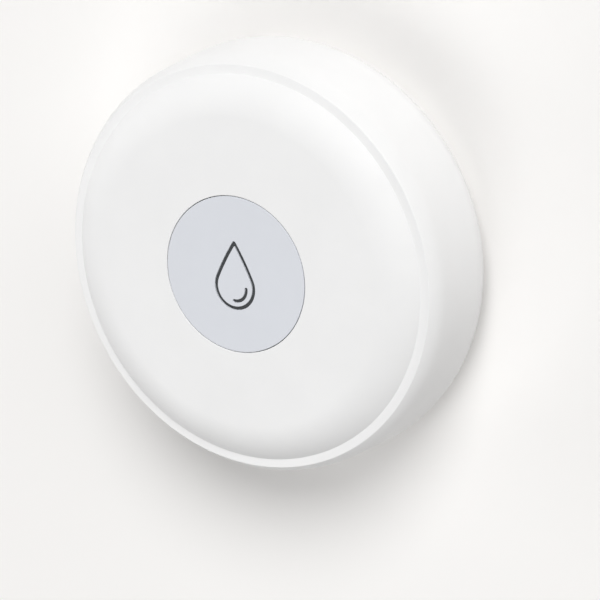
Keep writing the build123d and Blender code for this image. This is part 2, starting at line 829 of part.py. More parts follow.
# Battery door: a disc with a sealed plug, three bayonet lugs and a coin slot
door_top = lug_top
door_disc_top = door_seat_level - door_seat_gap
door_floor = door_disc_top + plug_floor
plug_radius = door_bore - plug_clearance
door_seal_radius = door_bore - seal_bore_gap - seal_tube_radius
neck_radius = door_seal_radius - seal_tube_radius - seal_groove_slack
with BuildPart() as battery_door:
    with BuildSketch(Plane.XZ):
        Polygon(
            (0, case_bottom),
            (door_seat_radius - door_rim_gap, case_bottom),
            (door_seat_radius - door_rim_gap, door_disc_top),
            (plug_radius, door_disc_top),
            (plug_radius, groove_bottom),
            (neck_radius, groove_bottom),
            (neck_radius, groove_top),
            (plug_radius, groove_top),
            (plug_radius, land_top),
            (neck_radius, land_top),
            (neck_radius, door_top),
            (neck_radius - plug_wall, door_top),
            (neck_radius - plug_wall, door_floor),
            (door_ring_radius, door_floor),
            (door_ring_radius, door_top),
            (door_ring_radius - door_ring_wall, door_top),
            (door_ring_radius - door_ring_wall, door_floor),
            (0, door_floor),
            align=None,
        )
    revolve(axis=Axis.Z)
    with BuildSketch(Plane.XY.offset(lug_bottom)):
        sectors(well_radius, lug_angle, 0)
        Circle(plug_radius, mode=Mode.INTERSECT)
        Circle(neck_radius - plug_wall / 2, mode=Mode.SUBTRACT)
    extrude(amount=lug_thickness)
    with BuildSketch(Plane.XY.offset(case_bottom - cut_overrun)):
        SlotOverall(coin_slot_length, coin_slot_width)
    extrude(amount=coin_slot_depth + cut_overrun, mode=Mode.SUBTRACT)
    with BuildSketch(Plane.XY.offset(case_bottom - cut_overrun)):
        with Locations((door_seat_radius - mark_setback, 0)):
            Circle(mark_radius)
    extrude(amount=mark_depth + cut_overrun, mode=Mode.SUBTRACT)
save(battery_door, "battery_door")

with BuildPart() as door_seal:
    with BuildSketch(Plane.XZ):
        with Locations((door_seal_radius, (groove_bottom + groove_top) / 2)):
            Circle(seal_tube_radius)
    revolve(axis=Axis.Z)
save(door_seal, "door_seal")

# Battery holder under the board, a cup with a window for one contact and a slot for the other
holder_bottom = cell_bottom - holder_reach
with BuildPart() as battery_holder:
    with BuildSketch(Plane.XY.offset(holder_bottom)):
        Circle(holder_radius)
    extrude(amount=board_bottom - holder_bottom)
    with BuildSketch(Plane.XY.offset(holder_bottom - cut_overrun)):
        Circle(holder_bore)
    extrude(amount=board_bottom - holder_ceiling - holder_bottom + cut_overrun, mode=Mode.SUBTRACT)
    with BuildSketch(Plane.XY.offset(holder_bottom)):
        Circle(holder_window_radius)
    extrude(amount=board_bottom - holder_bottom + cut_overrun, mode=Mode.SUBTRACT)
    with BuildSketch(Plane.XY.offset(holder_bottom - cut_overrun)):
        with Locations((holder_radius, 0)):
            Rectangle(
                2 * (holder_radius - cell_radius + holder_slot_clearance),
                strip_width + 2 * holder_slot_clearance,
            )
    extrude(amount=board_bottom - holder_bottom + 2 * cut_overrun, mode=Mode.SUBTRACT)
    with BuildSketch(Plane.XY.offset(board_bottom)):
        with Locations(*polar(holder_peg_circle, holder_peg_angles)):
            Circle(holder_peg_radius)
    extrude(amount=board_thickness * holder_peg_share)
save(battery_holder, "battery_holder")

# Contacts: one strip beside the cell, and one bent down onto the cell from the board
positive_face = cell_radius + strip_contact_gap
with BuildPart() as positive_contact:
    with BuildSketch(Plane.XZ):
        Polygon(
            (positive_face, cell_bottom + positive_drop),
            (positive_face + strip_thickness, cell_bottom + positive_drop),
            (positive_face + strip_thickness, board_bottom - strip_thickness),
            (positive_face + strip_thickness + positive_foot_length, board_bottom - strip_thickness),
            (positive_face + strip_thickness + positive_foot_length, board_bottom),
            (positive_face, board_bottom),
            align=None,
        )
    extrude(amount=strip_width / 2, both=True)
save(positive_contact, "positive_contact")

negative_level = cell_top + strip_contact_gap
foot_end = -negative_pad_half - negative_run
strip_top = board_bottom - strip_thickness
with BuildPart() as negative_contact:
    with BuildSketch(Plane.XZ):
        Polygon(
            (foot_end - negative_foot_length, strip_top),
            (foot_end, strip_top),
            (-negative_pad_half, negative_level),
            (negative_pad_half, negative_level),
            (negative_pad_half + negative_tail_run, negative_level + negative_tail_rise),
            (
                negative_pad_half + negative_tail_run,
                negative_level + negative_tail_rise + strip_thickness,
            ),
            (negative_pad_half, negative_level + strip_thickness),
            (-negative_pad_half, negative_level + strip_thickness),
            (foot_end, board_bottom),
            (foot_end - negative_foot_length, board_bottom),
            align=None,
        )
    extrude(amount=strip_width / 2, both=True)
save(negative_contact, "negative_contact")

# Coin cell: outer can, inner cap, the gasket that parts them, and the filling
can_top = cell_top - cell_cap_step
can_floor = cell_bottom + cell_sheet
can_inner = cell_radius - cell_sheet
crimp_inner = cell_radius - cell_crimp_width
crimp_underside = can_top - cell_sheet
cap_outer = cell_radius - cell_cap_setback
cap_inner = cap_outer - cell_sheet
cap_rim_level = can_floor + cell_gasket_lift
with BuildPart() as cell_can:
    with BuildSketch(Plane.XZ):
        Polygon(
            (0, cell_bottom),
            (cell_radius, cell_bottom),
            (cell_radius, can_top),
            (crimp_inner, can_top),
            (crimp_inner, crimp_underside),
            (can_inner, crimp_underside),
            (can_inner, can_floor),
            (0, can_floor),
            align=None,
        )
    revolve(axis=Axis.Z)
    chamfer(cell_can.edges().group_by(Axis.Z)[0], cell_sheet)
save(cell_can, "cell_can")

with BuildPart() as cell_cap:
    with BuildSketch(Plane.XZ):
        Polygon(
            (0, cell_top),
            (cap_outer, cell_top),
            (cap_outer, cap_rim_level),
            (cap_inner, cap_rim_level),
            (cap_inner, cell_top - cell_sheet),
            (0, cell_top - cell_sheet),
            align=None,
        )
    revolve(axis=Axis.Z)
save(cell_cap, "cell_cap")

with BuildPart() as cell_gasket:
    with BuildSketch(Plane.XZ):
        Polygon(
            (cap_inner, can_floor + cell_gasket_gap),
            (can_inner - cell_gasket_gap, can_floor + cell_gasket_gap),
            (can_inner - cell_gasket_gap, crimp_underside - cell_gasket_gap),
            (crimp_inner - cell_gasket_gap, crimp_underside - cell_gasket_gap),
            (crimp_inner - cell_gasket_gap, can_top),
            (cap_outer + cell_gasket_gap, can_top),
            (cap_outer + cell_gasket_gap, cap_rim_level - cell_gasket_gap),
            (cap_inner, cap_rim_level - cell_gasket_gap),
            align=None,
        )
    revolve(axis=Axis.Z)
save(cell_gasket, "cell_gasket")

with BuildPart() as cell_core:
    with BuildSketch(Plane.XY.offset(can_floor + cell_core_gap)):
        Circle(cap_inner - cell_core_gap)
    extrude(amount=cell_height - 2 * (cell_sheet + cell_core_gap))
save(cell_core, "cell_core")

# Tactile switch: housing with a cavity, snap dome, plunger, cover and four terminals
switch_cover_level = board_top + switch_base_height
cavity_floor = board_top + switch_cavity_floor
with BuildPart() as switch_housing:
    with BuildSketch(Plane.XY.offset(board_top)):
        Rectangle(switch_side, switch_side)
    extrude(amount=switch_base_height)
    with BuildSketch(Plane.XY.offset(cavity_floor)):
        Circle(switch_cavity_radius)
    extrude(amount=switch_base_height, mode=Mode.SUBTRACT)
save(switch_housing, "switch_housing")

dome_radius = switch_cavity_radius - dome_side_gap
with BuildPart() as switch_dome:
    with BuildSketch(Plane.XZ):
        with BuildLine():
            TangentArc(
                (0, cavity_floor + dome_rise + dome_thickness),
                (dome_radius, cavity_floor + dome_thickness),
                tangent=(1, 0),
            )
            Polyline(
                (dome_radius, cavity_floor + dome_thickness),
                (dome_radius, cavity_floor),
                (dome_radius - dome_thickness, cavity_floor),
            )
            TangentArc(
                (0, cavity_floor + dome_rise),
                (dome_radius - dome_thickness, cavity_floor),
                tangent=(1, 0),
            )
            Line((0, cavity_floor + dome_rise), (0, cavity_floor + dome_rise + dome_thickness))
        make_face()
    revolve(axis=Axis.Z)
save(switch_dome, "switch_dome")

plunger_flange_top = switch_cover_level - plunger_gap
with BuildPart() as switch_plunger:
    with BuildSketch(Plane.XY.offset(plunger_flange_top - plunger_flange_thickness)):
        Circle(plunger_flange_radius)
    extrude(amount=plunger_flange_thickness)
    with BuildSketch(Plane.XY.offset(plunger_flange_top)):
        Circle(plunger_radius)
    extrude(amount=plunger_top - plunger_flange_top)
    fillet(switch_plunger.edges().group_by(Axis.Z)[-1], plunger_edge_round)
save(switch_plunger, "switch_plunger")

with BuildPart() as switch_cover:
    with BuildSketch(Plane.XY.offset(switch_cover_level)):
        Rectangle(switch_side, switch_side)
        Circle(plunger_radius + plunger_gap, mode=Mode.SUBTRACT)
    extrude(amount=switch_cover_thickness)
save(switch_cover, "switch_cover")

with BuildPart() as switch_terminals:
    with BuildSketch(Plane.XY.offset(board_top)):
        with GridLocations(switch_side + terminal_reach, terminal_pitch, 2, 2):
            Rectangle(terminal_reach, terminal_width)
    extrude(amount=terminal_thickness)
    with BuildSketch(Plane.XY.offset(board_top)):
        with GridLocations(switch_side + terminal_thickness, terminal_pitch, 2, 2):
            Rectangle(terminal_thickness, terminal_width)
    extrude(amount=terminal_rise)
save(switch_terminals, "switch_terminals")

# Radio module at the board's edge: its own board, chip, shield and printed antenna
radio_length = antenna_margin + antenna_reach + shield_gap + shield_length + shield_margin
radio_width = shield_width + 2 * shield_side_margin
radio_centre = -(board_radius - radio_edge_gap - radio_length / 2)
radio_top = board_top + radio_thickness
shield_centre = radio_centre + radio_length / 2 - shield_margin - shield_length / 2
with BuildPart() as radio_board:
    with BuildSketch(Plane.XY.offset(board_top)):
        with Locations((radio_centre, radio_shift)):
            Rectangle(radio_length, radio_width)
    extrude(amount=radio_thickness)
save(radio_board, "radio_board")

with BuildPart() as radio_shield:
    with BuildSketch(Plane.XY.offset(radio_top)):
        with Locations((shield_centre, radio_shift)):
            Rectangle(shield_length, shield_width)
    extrude(amount=shield_height)
    with BuildSketch(Plane.XY.offset(radio_top - cut_overrun)):
        with Locations((shield_centre, radio_shift)):
            Rectangle(shield_length - 2 * shield_sheet, shield_width - 2 * shield_sheet)
    extrude(amount=shield_height - shield_sheet + cut_overrun, mode=Mode.SUBTRACT)
save(radio_shield, "radio_shield")

with BuildPart() as radio_chip:
    with BuildSketch(Plane.XY.offset(radio_top)):
        with Locations((shield_centre, radio_shift)):
            Rectangle(radio_chip_side, radio_chip_side)
    extrude(amount=radio_chip_height)
save(radio_chip, "radio_chip")

antenna_pitch = antenna_track + antenna_gap
antenna_centre = radio_centre - radio_length / 2 + antenna_margin + antenna_reach / 2
antenna_start = radio_shift - (antenna_legs - 2) * antenna_pitch / 2
bridge_reach = (antenna_reach - antenna_track) / 2
with BuildPart() as antenna:
    with BuildSketch(Plane.XY.offset(radio_top)):
        with Locations((antenna_centre, radio_shift)):
            with GridLocations(antenna_reach, antenna_pitch, 1, antenna_legs):
                Rectangle(antenna_reach, antenna_track)
        for i in range(antenna_legs - 1):
            side = bridge_reach if i % 2 else -bridge_reach
            with Locations((antenna_centre + side, antenna_start + i * antenna_pitch)):
                Rectangle(antenna_track, antenna_pitch)
    extrude(amount=antenna_thickness)
save(antenna, "antenna")

# Sensing chip with its pins, a crystal and a row of chip capacitors
with BuildPart() as sense_chip:
    with BuildSketch(Plane.XY.offset(board_top + chip_pin_thickness)):
        with Locations((board_radius - chip_setback, chip_shift)):
            Rectangle(chip_width, chip_length)
    extrude(amount=chip_height - chip_pin_thickness)
save(sense_chip, "sense_chip")

with BuildPart() as chip_pins:
    with BuildSketch(Plane.XY.offset(board_top)):
        with Locations((board_radius - chip_setback, chip_shift)):
            with GridLocations(chip_width + chip_pin_reach, chip_pin_pitch, 2, chip_pins_per_side):
                Rectangle(chip_pin_reach, chip_pin_width)
    extrude(amount=chip_pin_thickness)
    with BuildSketch(Plane.XY.offset(board_top)):
        with Locations((board_radius - chip_setback, chip_shift)):
            with GridLocations(
                chip_width + chip_pin_thickness, chip_pin_pitch, 2, chip_pins_per_side
            ):
                Rectangle(chip_pin_thickness, chip_pin_width)
    extrude(amount=chip_height / 2)
save(chip_pins, "chip_pins")

with BuildPart() as crystal:
    with BuildSketch(Plane.XY.offset(board_top)):
        with Locations((board_radius - crystal_setback, crystal_shift)):
            RectangleRounded(crystal_length, crystal_width, crystal_edge_round)
    extrude(amount=crystal_height)
save(crystal, "crystal")

with BuildPart() as chip_capacitors:
    with BuildSketch(Plane.XY.offset(board_top)):
        with Locations((board_radius - capacitor_setback, capacitor_shift)):
            with GridLocations(capacitor_length, capacitor_pitch, 1, capacitor_count):
                Rectangle(capacitor_length, capacitor_width)
    extrude(amount=capacitor_height)
save(chip_capacitors, "chip_capacitors")
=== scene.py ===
import json
import bmesh
import bpy
import numpy as np
from mathutils import Matrix
from mathutils.geometry import delaunay_2d_cdt


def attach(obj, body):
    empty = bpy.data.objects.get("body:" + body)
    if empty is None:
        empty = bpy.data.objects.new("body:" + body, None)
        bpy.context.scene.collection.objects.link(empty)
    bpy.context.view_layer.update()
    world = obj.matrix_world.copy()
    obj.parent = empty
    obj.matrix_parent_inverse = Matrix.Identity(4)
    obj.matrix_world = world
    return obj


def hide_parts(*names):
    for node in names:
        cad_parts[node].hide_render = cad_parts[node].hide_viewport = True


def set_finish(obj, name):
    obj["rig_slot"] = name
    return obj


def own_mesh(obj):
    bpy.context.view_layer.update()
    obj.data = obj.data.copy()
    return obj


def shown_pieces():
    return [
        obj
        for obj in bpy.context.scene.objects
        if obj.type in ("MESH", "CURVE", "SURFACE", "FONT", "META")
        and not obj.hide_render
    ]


# Water leak sensor: a round puck, flat on the floor, seen as the photograph shows its face.
# Seven pieces are made anew here, and the other CAD nodes keep their shape and get a finish.
# Lengths in the dictionaries are millimetres in the part's own frame; mm turns them to metres.
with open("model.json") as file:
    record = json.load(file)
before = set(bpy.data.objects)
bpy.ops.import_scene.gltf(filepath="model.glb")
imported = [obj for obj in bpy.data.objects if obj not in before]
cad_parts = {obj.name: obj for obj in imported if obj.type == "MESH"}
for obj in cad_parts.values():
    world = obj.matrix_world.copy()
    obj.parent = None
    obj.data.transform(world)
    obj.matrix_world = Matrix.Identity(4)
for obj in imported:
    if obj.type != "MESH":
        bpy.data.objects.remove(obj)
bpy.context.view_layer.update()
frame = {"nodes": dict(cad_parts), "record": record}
nodes = frame["nodes"]
scene = bpy.context.scene
mm = 0.001
print("frame loaded:", len(nodes), "nodes")

camera = {
    "lens": 120.0,
    "sensor": 36.0,  # 600 pixels across, so the lens is 2000 pixels long
    "near": 10.0,
    "far": 20000.0,
    "faceAxis": (-0.5091, -0.2699, 0.8173),  # the front's normal to the camera: right, up, back
    "signLean": 8.75,  # degrees that the sign's top leans to the right, in the plane of the front
    "rimCentre": (-0.2723, 0.1403),  # in rim radii, right of and above the middle of the view
    "distance": 9.606,  # in rim radii
    "rimRadius": 23.45,
    "rimLevel": 14.15,
}


def placeCamera(c):
    # the part's three axes as the camera has them are the rows; its columns are the camera's axes
    front = np.array(c["faceAxis"]) / np.linalg.norm(c["faceAxis"])
    across = np.cross((0, 1, 0), front)
    across /= np.linalg.norm(across)
    upward = np.cross(front, across)
    lean = np.radians(c["signLean"])
    partX = np.cos(lean) * across - np.sin(lean) * upward
    partY = np.cos(lean) * upward + np.sin(lean) * across
    turn = np.array([partX, partY, front])
    back = np.array([-c["rimCentre"][0], -c["rimCentre"][1], c["distance"]]) * c["rimRadius"]
    spot = (turn @ back + (0, 0, c["rimLevel"])) * mm
    data = bpy.data.cameras.new("camera")
    data.lens, data.sensor_width = c["lens"], c["sensor"]
    data.clip_start, data.clip_end = c["near"] * mm, c["far"] * mm
    view = bpy.data.objects.new("camera", data)
    scene.collection.objects.link(view)
    pose = np.eye(4)
    pose[:3, :3], pose[:3, 3] = turn, spot
    view.matrix_world = Matrix(pose.tolist())
    scene.camera = view


placeCamera(camera)
scene.view_settings.view_transform = "Standard"
print("camera placed")

cornerSteps = 4
lead = 0.02  # straight run on each side of a softened corner, which keeps a flat face evenly lit
fillGap = 1e-7  # nearer points of a level fill are one
weldGap = 1e-6  # nearer points of a mesh are one, in metres
sliver = 1e-7  # shorter edges of a mesh go, in metres
sharpAngle = 28  # edges that bend more stay crisp, in degrees


def gridFaces(rows, columns, closeRows=False, closeColumns=False):
    # one quad between each pair of neighbouring rows and columns of a grid of points
    i, j = np.meshgrid(
        np.arange(rows - (not closeRows)), np.arange(columns - (not closeColumns)), indexing="ij"
    )
    k, m = (i + 1) % rows, (j + 1) % columns
    corners = [i * columns + j, k * columns + j, k * columns + m, i * columns + m]
    return np.stack(corners, -1).reshape(-1, 4)


def lathe(profile, sides, centre=(0, 0), closed=True):
    # each row is the profile, as radius and height, turned to one more angle round an upright axis
    turn = np.linspace(0, 2 * np.pi, sides, endpoint=False)[:, None]
    radius, height = np.array(profile, float).T
    x = centre[0] + np.cos(turn) * radius
    y = centre[1] + np.sin(turn) * radius
    points = np.stack([x, y, np.broadcast_to(height, x.shape)], -1).reshape(-1, 3)
    return points, gridFaces(sides, len(radius), True, closed)


def arc(centre, radius, start, end, steps):
    # points at one radius from the centre, at even angles from start to end
    t = np.linspace(start, end, steps + 1)
    return np.stack([centre[0] + radius * np.cos(t), centre[1] + radius * np.sin(t)], -1)


def arcTo(start, end, tangent, steps):
    # arc that leaves start along the tangent and ends at end; its centre lies square to the tangent
    start, end, tangent = np.array(start), np.array(end), np.array(tangent)
    tangent = tangent / np.linalg.norm(tangent)
    chord, side = end - start, np.array([-tangent[1], tangent[0]])
    radius = chord @ chord / (2 * chord @ side)
    sweep = 2 * np.arctan2(chord @ side, chord @ tangent)
    t = np.linspace(0, sweep, steps + 1)[:, None]
    return start + radius * (side * (1 - np.cos(t)) + tangent * np.sin(t))


def unrounded(points):
    # the points as corners of radius 0, which softened leaves as they are
    return np.column_stack([points, np.zeros(len(points))]).tolist()


def softened(corners):
    # each corner (x, y, radius) turns into an arc that touches both sides, with a short lead each
    # way; the arc starts at radius / tan(half the corner's angle) from the corner
    line, radii = np.split(np.array(corners, float), [2], 1)
    made, passed = [], 0
    for i in np.flatnonzero(radii):
        point = line[i]
        to = [line[i - 1] - point, line[(i + 1) % len(line)] - point]
        to = [v / np.linalg.norm(v) for v in to]
        half = np.arccos(np.clip(to[0] @ to[1], -1, 1)) / 2
        ends = [point + v * radii[i] / np.tan(half) for v in to]
        curve = arcTo(ends[0], ends[1], -to[0], cornerSteps)
        made += [line[passed:i], [ends[0] + to[0] * lead], curve, [ends[1] + to[1] * lead]]
        passed = i + 1
    return np.concatenate(made + [line[passed:]])


def flatFill(loops, height):
    # level triangles between closed loops: a Delaunay mesh held to the loops, of which those stay
    # whose middle has an odd number of loop edges straight to its right
    edges, first = [], 0
    for loop in loops:
        ring = first + np.arange(len(loop))
        edges += np.stack([ring, np.roll(ring, -1)], -1).tolist()
        first += len(loop)
    made = delaunay_2d_cdt(np.concatenate(loops).tolist(), edges, [], 0, fillGap)
    spots, triangles = np.array(made[0]), np.array(made[2])
    middle = spots[triangles].mean(1)
    inside = np.zeros(len(middle), bool)
    for loop in loops:
        (x0, y0), (x1, y1) = loop.T, np.roll(loop, -1, 0).T
        beside = (y0[None] > middle[:, 1:]) != (y1[None] > middle[:, 1:])
        rise = np.where(y1 == y0, 1, y1 - y0)
        cross = middle[:, :1] < (x1 - x0) * (middle[:, 1:] - y0) / rise + x0
        inside ^= (beside & cross).sum(1) % 2 == 1
    level = np.full((len(spots), 1), float(height))
    return np.hstack([spots, level]), triangles[inside]


def carried(outline, steps, closed=False):
    # a profile of (inset, height) pairs carried round an outline that can be drawn at any inset
    rings = [(outline(inset), height) for inset, height in steps]
    rows = [np.column_stack([ring, np.full(len(ring), height)]) for ring, height in rings]
    return np.concatenate(rows), gridFaces(len(rows), len(rows[0]), closed, True)


def addPiece(name, parts, body, slot, replaced=()):
    # the parts, each points and faces, become one mesh: seams and poles are welded and the faces
    # turned outwards; the piece rides its body in place of the CAD nodes that it stands for
    mesh = bpy.data.meshes.new(name)
    points, faces, start = [], [], 0
    for spots, quads in parts:
        points.append(spots)
        faces += (quads + start).tolist()
        start += len(spots)
    mesh.from_pydata((np.concatenate(points) * mm).tolist(), [], faces)
    work = bmesh.new()
    work.from_mesh(mesh)
    bmesh.ops.remove_doubles(work, verts=work.verts, dist=weldGap)
    bmesh.ops.dissolve_degenerate(work, edges=work.edges, dist=sliver)
    bmesh.ops.recalc_face_normals(work, faces=work.faces)
    work.to_mesh(mesh)
    work.free()
    mesh.polygons.foreach_set("use_smooth", np.ones(len(mesh.polygons), bool))
    mesh.set_sharp_from_angle(angle=np.radians(sharpAngle))
    piece = bpy.data.objects.new(name, mesh)
    scene.collection.objects.link(piece)
    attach(piece, body)
    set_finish(piece, slot)
    if replaced:
        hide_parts(*replaced)
    return piece


# front housing: wall, flat rim band and pillow front in one moulding
housing = {
    "faceLevel": 16.0,
    "skin": 1.4,
    "holeRadius": 9.13,
    "holeRound": 0.08,
    "pillowFlat": 17.9,  # radius where the flat front starts to bow down
    "rimInner": 22.45,
    "rimRadius": 23.45,
    "rimLevel": 14.15,
    "creaseRound": 0.08,
    "rimRound": 0.1,
    "shoulderDepth": 2.2,
    "draft": 5.0,  # degrees that the wall leans inwards on its way up
    "lowerFlat": 20.4,  # radius where the lower edge's round would reach the bottom
    "lowerRound": 4.6,
    "bottom": 0.45,
    "seamLevel": 1.25,
    "boreRadius": 21.8,
    "ringInner": 10.46,  # the ring presses on the membrane's bead
    "ringOuter": 12.61,
    "ringBottom": 13.5,
    "sides": 288,
    "pillowSteps": 28,
    "shoulderSteps": 18,
    "lowerSteps": 22,
    "ceilingSteps": 12,
}


def housingProfile(h):
    # round the section: the front, an arc down to the rim band, an arc to the wall, the wall at its
    # draft, the lower edge's round to the seam, the bore, and back under the front past the ring;
    # an arc that starts level has the radius (run squared + rise squared) / twice the rise
    draft = np.radians(h["draft"])
    lowCentre = h["bottom"] + h["lowerRound"]
    lowRun, lowRise = h["lowerRound"] * np.cos(draft), h["lowerRound"] * np.sin(draft)
    wallLow = np.array([h["lowerFlat"] + lowRun, lowCentre + lowRise])
    wallTop = h["rimLevel"] - h["shoulderDepth"]
    wallHigh = np.array([wallLow[0] - (wallTop - wallLow[1]) * np.tan(draft), wallTop])
    drop = lowCentre - h["seamLevel"]
    seamRadius = h["lowerFlat"] + np.sqrt(h["lowerRound"] ** 2 - drop**2)
    underside = h["faceLevel"] - h["skin"]
    run, rise = h["rimInner"] - h["pillowFlat"], h["faceLevel"] - h["rimLevel"]
    pillow = (run**2 + rise**2) / (2 * rise)
    inner = pillow - h["skin"]
    boreTop = h["faceLevel"] - pillow + np.sqrt(inner**2 - (h["boreRadius"] - h["pillowFlat"]) ** 2)
    flatEdge, rimEdge = (h["pillowFlat"], h["faceLevel"]), (h["rimRadius"], h["rimLevel"])
    front = arcTo(flatEdge, (h["rimInner"], h["rimLevel"]), (1, 0), h["pillowSteps"])
    shoulder = arcTo(wallHigh, rimEdge, (-np.sin(draft), np.cos(draft)), h["shoulderSteps"])
    seam = (seamRadius, h["seamLevel"])
    lower = arcTo(wallLow, seam, (np.sin(draft), -np.cos(draft)), h["lowerSteps"])
    boreEnd = (h["boreRadius"], boreTop)
    ceiling = arcTo((h["pillowFlat"], underside), boreEnd, (1, 0), h["ceilingSteps"])
    corners = [(h["holeRadius"], h["faceLevel"], h["holeRound"])]
    corners += unrounded(front[:-1])
    corners += [(h["rimInner"], h["rimLevel"], h["creaseRound"])]
    corners += [(*rimEdge, h["rimRound"])]
    corners += unrounded(shoulder[::-1][1:])
    corners += unrounded(lower)
    corners += [(h["boreRadius"], h["seamLevel"], 0)]
    corners += unrounded(ceiling[::-1])
    corners += [(h["ringOuter"], underside, 0), (h["ringOuter"], h["ringBottom"], 0)]
    corners += [(h["ringInner"], h["ringBottom"], 0), (h["ringInner"], underside, 0)]
    return softened(corners + [(h["holeRadius"], underside, 0)])


addPiece(
    "housingShell",
    [lathe(housingProfile(housing), housing["sides"])],
    "case",
    "white_shell",
    ["front_housing"],
)

# screw bosses in the housing: tall ones for the case screws, short ears for the retainer's screws
bosses = {
    "circle": 16.95,
    "radius": 2.0,
    "bore": 1.0,
    "bottom": 4.0,
    "boreTop": 9.95,
    "angles": (90, 210, 330),
    "earCircle": 14.31,
    "earRadius": 1.68,
    "earBore": 0.6,
    "earBottom": 12.7,
    "earBoreTop": 13.9,
    "earAngles": (30, 150, 270),
    "root": 14.7,  # just inside the front's skin
    "sides": 48,
}


def bossProfile(outer, bore, bottom, boreTop, root):
    # from the root down the outside, across the end, up the blind bore and in to the axis
    outside = [(0, root), (outer, root), (outer, bottom)]
    return outside + [(bore, bottom), (bore, boreTop), (0, boreTop)]


def bossParts(b):
    # one turned profile at each angle round the circle
    tall = bossProfile(b["radius"], b["bore"], b["bottom"], b["boreTop"], b["root"])
    ear = bossProfile(b["earRadius"], b["earBore"], b["earBottom"], b["earBoreTop"], b["root"])
    made = []
    for circle, angles, profile in (
        (b["circle"], b["angles"], tall),
        (b["earCircle"], b["earAngles"], ear),
    ):
        for angle in np.radians(angles):
            centre = (circle * np.cos(angle), circle * np.sin(angle))
            made.append(lathe(profile, b["sides"], centre, closed=False))
    return made


addPiece("housingBosses", bossParts(bosses), "case", "white_shell")
print("front housing made")

# button cap with the drop sign let into it
button = {
    "top": 16.0,
    "radius": 9.05,
    "edgeRound": 0.08,
    "underside": 14.8,
    "flangeRadius": 9.79,
    "flangeTop": 14.5,
    "flangeBottom": 13.9,
    "flangeRound": 0.05,
    "skirtInner": 7.95,
    "stemRadius": 2.2,
    "stemBottom": 13.6,
    "stemRound": 0.1,
    "grooveDepth": 0.22,
    "lip": 0.03,  # radius of the groove's upper edge
    "lipSteps": 4,
    "ribs": 6,
    "ribInner": 1.1,
    "ribOuter": 8.0,
    "ribWidth": 0.8,
    "ribBottom": 14.3,
    "ribRound": 0.1,
    "ribRoot": 0.1,  # how far a rib goes into the cap
    "sides": 240,
}
sign = {
    "bowlRadius": 2.67,
    "bowlCentre": -1.43,
    "tip": 4.1,  # where the bowed sides would meet
    "sideRadius": 30.0,
    "tipRound": 0.22,
    "innerTipRound": 0.04,
    "stroke": 0.41,
    "sideSteps": 16,
    "tipSteps": 14,
    "bowlSteps": 96,
    "glintCentre": (0.05, -1.62),
    "glintRadius": 1.43,
    "glintStart": -97.0,
    "glintEnd": 6.0,
    "glintStroke": 0.38,
    "glintSteps": 36,
    "glintEndSteps": 12,
    "fill": 0.03,
    "slack": 0.01,
}


def dropOutline(inset):
    # three arcs, each drawn the inset further in: the bowl, a long side that touches the bowl, and
    # a small tip that touches the side; two arcs touch on the line through both their centres
    s = sign
    reach, past = s["tip"] - s["bowlCentre"], s["sideRadius"] - s["bowlRadius"]
    lift = (s["sideRadius"] ** 2 - past**2 - reach**2) / (2 * reach * past)
    touch = np.arcsin(lift)
    middle = np.array([-past * np.cos(touch), s["bowlCentre"] - past * lift])
    sideRadius = s["sideRadius"] - inset
    tipRadius = max(s["tipRound"] - inset, s["innerTipRound"])
    away = sideRadius - tipRadius
    tipCentre = middle[1] + np.sqrt(away**2 - middle[0] ** 2)
    turn = np.arcsin((tipCentre - middle[1]) / away)
    right = arc(middle, sideRadius, touch, turn, s["sideSteps"])[1:-1]
    left = right[::-1] * (-1, 1)
    tip = arc((0, tipCentre), tipRadius, turn, np.pi - turn, s["tipSteps"])
    bowlCentre, bowlRadius = (0, s["bowlCentre"]), s["bowlRadius"] - inset
    bowl = arc(bowlCentre, bowlRadius, np.pi - touch, 2 * np.pi + touch, s["bowlSteps"])
    return np.concatenate([right, tip, left, bowl])


def glintOutline(inset):
    # a slot that follows an arc: outer side, round end, inner side, round end
    s, half = sign, sign["glintStroke"] / 2 - inset
    start, end = np.radians(s["glintStart"]), np.radians(s["glintEnd"])
    centre, radius = np.array(s["glintCentre"]), s["glintRadius"]
    ends = [centre + radius * np.array([np.cos(t), np.sin(t)]) for t in (start, end)]
    outer = arc(centre, radius + half, start, end, s["glintSteps"])
    far = arc(ends[1], half, end, end + np.pi, s["glintEndSteps"])[1:-1]
    inner = arc(centre, radius - half, end, start, s["glintSteps"])
    near = arc(ends[0], half, start + np.pi, start + 2 * np.pi, s["glintEndSteps"])[1:-1]
    return np.concatenate([outer, far, inner, near])


